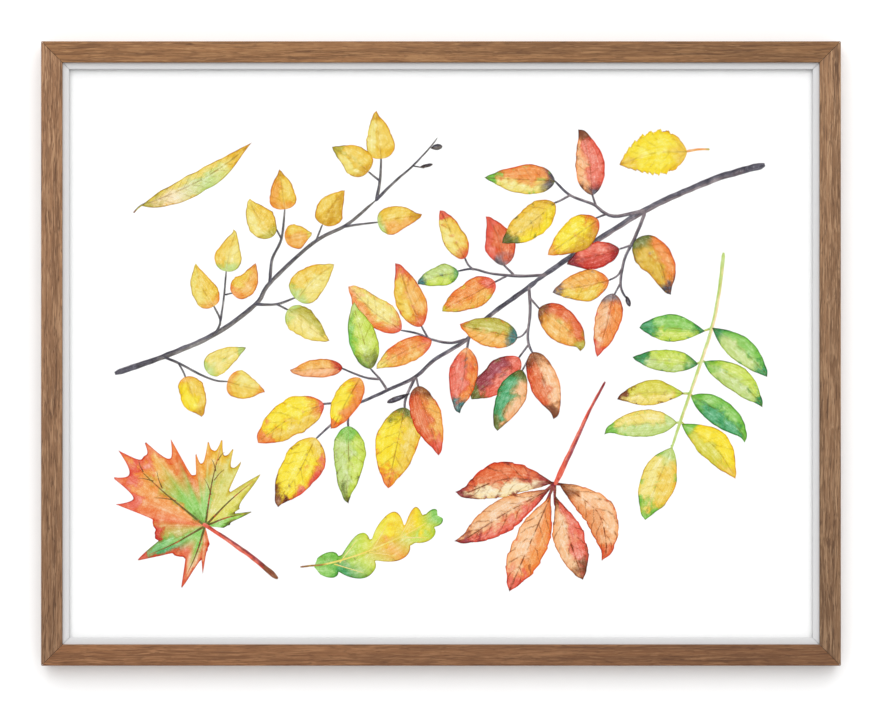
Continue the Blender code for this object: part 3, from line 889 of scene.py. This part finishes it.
OAK_UPPER = ((0.0, "moss"), (0.14, "leaf"), (0.34, "lime"), (0.58, "lemon"), (0.8, "gold"), (1.0, "leaf"))
OAK_LOWER = ((0.0, "leaf"), (0.18, "jade"), (0.34, "lime"), (0.56, "honey"), (0.74, "lime"), (1.0, "leaf"))
OAK_ENDS = ((0.0, "umber"), (0.4, "moss"), (0.62, "honey"), (0.82, "lemon"), (0.96, "leaf"), (1.0, "leaf"))
OAK_LEAN = 0.55  # of the lobes towards the tip
OAK_VEIN_REACH = 0.78  # share of a lobe
OAK_LOBES = {
    # by side: middle along the leaf, half of the spread, how far it reaches
    1: ((0.08, 0.1, 11.0), (0.31, 0.13, 18.0), (0.57, 0.14, 23.0), (0.79, 0.09, 17.0), (0.94, 0.07, 7.5)),
    -1: ((0.07, 0.09, 11.5), (0.27, 0.14, 18.0), (0.54, 0.16, 16.5), (0.8, 0.11, 14.0), (0.94, 0.07, 8.0)),
}


def paint_oak_leaf():
    film = InkFilm()
    line = run_through([(-108, -182), (-80, -177), (-52, -165), (-26, -153), (-3, -138)])
    body = leaf_profile(0.55, 0.4)

    def half(t, side):
        lobe = max(reach * max(0.0, 1 - ((t - middle) / spread) ** 2) ** 0.5
                   for middle, spread, reach in OAK_LOBES[side])
        return max(9.5 * body(t), lobe) * (1 + 0.1 * noise.noise(Vector((9.0 * t, 3.0 * side, 2.2))))

    def mixed(t, across):
        return [along_stops(OAK_LOWER, t), along_stops(OAK_UPPER, t), along_stops(OAK_ENDS, t), ink("leaf")]

    film.blade(line, half, mixed, (0, 0.0), lean=OAK_LEAN, rows=160, columns=12)
    midrib = [(-120, -182), (-112, -181), (-96, -179), (-66, -170), (-30, -154), (-12, -144)]
    twig(film, midrib, 1.6, 1.0, "straw straw straw umber")
    for side, lobes in OAK_LOBES.items():
        for middle, _, reach in lobes[1:4]:
            start, _ = line(middle - 0.12)
            centre, forward = line(middle)
            outward = left_of(forward) * side + forward * OAK_LEAN
            end = centre + outward * reach * OAK_VEIN_REACH
            twig(film, [start, end], 1.0, 0.4, "straw cream straw straw")
    film.settle("oak_leaf_print")


def paint_creeper_leaf():
    film = InkFilm()
    for end in ((84, -109), (82, -122), (87, -132), (97, -130), (106, -112)):
        twig(film, [(97, -111), end], 3.0, 1.6, "wine umber wine wine")
    for start, end, width, bend, cover, inks in (
        ((96, -110), (12, -118), 29, -0.08, 0.1, "tangerine cream wine wine"),
        ((94, -115), (11, -160), 26, 0, -0.2, "sand coral wine wine"),
        ((94, -120), (58, -203), 31, 0, -0.1, "peach orange coral tan"),
        ((97, -120), (121, -193), 27, 0, 0, "sand coral umber umber"),
        ((100, -110), (137, -177), 27, 0.22, 0.1, "tan peach tangerine umber"),
    ):
        leaf(film, start, end, width, inks, bend, STALKED, (7, 0.95), cover, hook=3.0, teeth=(8, 0.08))
    twig(film, [(140, -24), (126, -50), (112, -80), (97, -112)], 1.8, 5.0, "coral wine coral wine")
    film.settle("creeper_leaf_print")


# -------- stage
WALL_SIZE, WALL_PLACE = (8.0, 5.0), (0, 0, 0.9)
FLOOR_SIZE, FLOOR_PLACE = (8.0, 8.0), (0, -4.0, -1.6)
SENSOR_WIDTH = 36  # of the camera, in millimetres


def stage_finish(name, colour):
    """Pale paint that casts no shadow and can't be seen from behind, so the wall never hides the frame."""
    made = Finish(name, 0.9, sheen=0.1)
    mottle = made.noise(made.mapped(), 40, 3)
    made.colour(made.blend(made.spread(mottle, 0.0, 0.06), colour, (0.88, 0.88, 0.88)))
    open_side = made.node("Math", {0: made.node("NewGeometry").outputs["Backfacing"],
                                   1: made.node("LightPath").outputs["Is Shadow Ray"]}, operation="MAXIMUM")
    mixed = made.node("MixShader", {0: open_side.outputs[0], 1: made.shader.outputs[0],
                                    2: made.node("BsdfTransparent").outputs[0]})
    made.feed(made.tree.nodes["Material Output"].inputs["Surface"], mixed.outputs[0])
    return made.material


def add_backdrop(name, size, place, upright, colour):
    bm = bmesh.new()
    bmesh.ops.create_grid(bm, x_segments=1, y_segments=1, size=0.5)
    bmesh.ops.scale(bm, vec=(*size, 1), verts=bm.verts)
    mesh = bpy.data.meshes.new(name)
    bm.to_mesh(mesh)
    bm.free()
    mesh.materials.append(stage_finish(name + "_paint", colour))
    plane = add_object(name, mesh)
    plane.location = place
    plane.rotation_euler = (math.radians(90 if upright else 0), 0, 0)


def add_soft_sun(name, strength, towards, spread):
    """Light softened over spread degrees. towards points from the object to the light."""
    light = bpy.data.lights.new(name, "SUN")
    light.energy = strength
    light.angle = math.radians(spread)
    lamp = add_object(name, light)
    lamp.rotation_euler = Vector(towards).to_track_quat("Z", "Y").to_euler()


def add_lights():
    chosen = settings("stage")
    world = bpy.data.worlds.new("studio")
    world.use_nodes = True
    background = world.node_tree.nodes["Background"].inputs
    background["Color"].default_value = (1, 1, 1, 1)
    background["Strength"].default_value = chosen.room_light
    bpy.context.scene.world = world
    add_soft_sun("top_light", chosen.top_light, (0, -0.82, 0.57), 72)
    add_soft_sun("back_light", chosen.back_light, (-0.3, 1, -0.1), 60)


def add_camera():
    chosen = settings("stage")
    data = bpy.data.cameras.new("camera")
    data.lens = chosen.lens
    data.sensor_width = SENSOR_WIDTH
    camera = add_object("camera", data)
    low, high = CAD_BOX
    away = chosen.view_width * data.lens / SENSOR_WIDTH
    camera.location = ((low.x + high.x) / 2, FRONT_Y - away, (low.z + high.z) / 2)
    camera.rotation_euler = (math.radians(90), 0, 0)
    bpy.context.scene.camera = camera


# -------- operators
class LEAFPRINT_OT_moulding(bpy.types.Operator):
    """Stain the four mitred sides and paint the slip"""

    bl_idname = "leafprint.moulding"
    bl_label = "Moulding and slip"

    def execute(self, context):
        # each piece's tint: its own tone of wood, with painted shade in the bottom rail's darker tint
        for name, upright, shift, tone_and_shade in (
            ("rail_top", False, (0.0, 0.0, 0.0), (0.93, 0.88, 0.78)),
            ("rail_bottom", False, (0.43, 0.2, 0.7), (0.75, 0.66, 0.61)),
            ("stile_left", True, (0.91, 0.5, 0.1), (0.91, 0.93, 1.02)),
            ("stile_right", True, (1.57, 0.8, 0.4), (0.88, 0.94, 1.05)),
        ):
            dress(wood_finish(name + "_wood", upright, shift, tone_and_shade), name)
        dress(slip_finish(), "slip_top", "slip_bottom", "slip_left", "slip_right")
        return {"FINISHED"}


class LEAFPRINT_OT_sheets(bpy.types.Operator):
    """Finish the glass, the paper and the boards behind it"""

    bl_idname = "leafprint.sheets"
    bl_label = "Glass, paper and boards"

    def execute(self, context):
        dress(glass_finish(), "glazing")
        dress(paper_finish(), "print_sheet")
        dress(corrugated_finish(), "filler_board")
        dress(hardboard_finish(), "backing_board")
        return {"FINISHED"}


class LEAFPRINT_OT_hardware(bpy.types.Operator):
    """Finish the nails, screws, turn buttons, hangers and bumpers"""

    bl_idname = "leafprint.hardware"
    bl_label = "Hardware"

    def execute(self, context):
        screws = [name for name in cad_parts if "screw" in name or "nail" in name]
        plates = [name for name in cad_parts
                  if name.startswith(("turn_button", "hanger_strap", "hanger_ring"))]
        dress(steel_finish("screw_steel", 0.66), *screws)
        dress(steel_finish("zinc_steel", 1.0), *plates)
        dress(rubber_finish(), "wall_bumper_left", "wall_bumper_right")
        return {"FINISHED"}


class LEAFPRINT_OT_branches(bpy.types.Operator):
    """Paint the yellow sprig and the big orange branch"""

    bl_idname = "leafprint.branches"
    bl_label = "Branches"

    def execute(self, context):
        paint_yellow_sprig()
        paint_big_branch()
        return {"FINISHED"}


class LEAFPRINT_OT_small_leaves(bpy.types.Operator):
    """Paint the willow and birch leaves"""

    bl_idname = "leafprint.small_leaves"
    bl_label = "Willow and birch leaves"

    def execute(self, context):
        paint_willow_leaf()
        paint_birch_leaf()
        return {"FINISHED"}


class LEAFPRINT_OT_compound_leaves(bpy.types.Operator):
    """Paint the rowan and creeper leaves"""

    bl_idname = "leafprint.compound_leaves"
    bl_label = "Rowan and creeper leaves"

    def execute(self, context):
        paint_rowan_leaf()
        paint_creeper_leaf()
        return {"FINISHED"}


class LEAFPRINT_OT_lobed_leaves(bpy.types.Operator):
    """Paint the maple and oak leaves"""

    bl_idname = "leafprint.lobed_leaves"
    bl_label = "Maple and oak leaves"

    def execute(self, context):
        paint_maple_leaf()
        paint_oak_leaf()
        return {"FINISHED"}


class LEAFPRINT_OT_stage(bpy.types.Operator):
    """Add the wall, floor, lights and camera"""

    bl_idname = "leafprint.stage"
    bl_label = "Stage"

    def execute(self, context):
        chosen = settings("stage")
        add_backdrop("wall", WALL_SIZE, WALL_PLACE, True, chosen.wall)
        add_backdrop("floor", FLOOR_SIZE, FLOOR_PLACE, False, chosen.floor)
        add_lights()
        add_camera()
        context.scene.view_settings.view_transform = "Standard"
        return {"FINISHED"}


OPERATORS = (LEAFPRINT_OT_moulding, LEAFPRINT_OT_sheets, LEAFPRINT_OT_hardware, LEAFPRINT_OT_branches,
             LEAFPRINT_OT_small_leaves, LEAFPRINT_OT_compound_leaves, LEAFPRINT_OT_lobed_leaves,
             LEAFPRINT_OT_stage)


class LEAFPRINT_PT_panel(bpy.types.Panel):
    bl_idname = "LEAFPRINT_PT_panel"
    bl_label = "Leaf Print"
    bl_space_type = "VIEW_3D"
    bl_region_type = "UI"
    bl_category = "Leaf Print"

    def draw(self, context):
        for kind in ("frame", "inks", "stage"):
            box = self.layout.box()
            box.label(text=kind.capitalize())
            group = settings(kind)
            for name in group.__annotations__:
                box.prop(group, name)
        for operator in OPERATORS:
            self.layout.operator(operator.bl_idname)


GROUPS = {"frame": FrameSettings, "inks": InkSettings, "stage": StageSettings}


def register():
    for group in GROUPS.values():
        bpy.utils.register_class(group)
    for kind, group in GROUPS.items():
        setattr(bpy.types.Scene, "leaf_print_" + kind, PointerProperty(type=group))
    for kind in (*OPERATORS, LEAFPRINT_PT_panel):
        bpy.utils.register_class(kind)


def unregister():
    for kind in (LEAFPRINT_PT_panel, *reversed(OPERATORS)):
        bpy.utils.unregister_class(kind)
    for kind, group in GROUPS.items():
        delattr(bpy.types.Scene, "leaf_print_" + kind)
        bpy.utils.unregister_class(group)


def main():
    register()
    for operator in OPERATORS:
        group, name = operator.bl_idname.split(".")
        getattr(getattr(bpy.ops, group), name)()


if __name__ == "__main__":
    main()
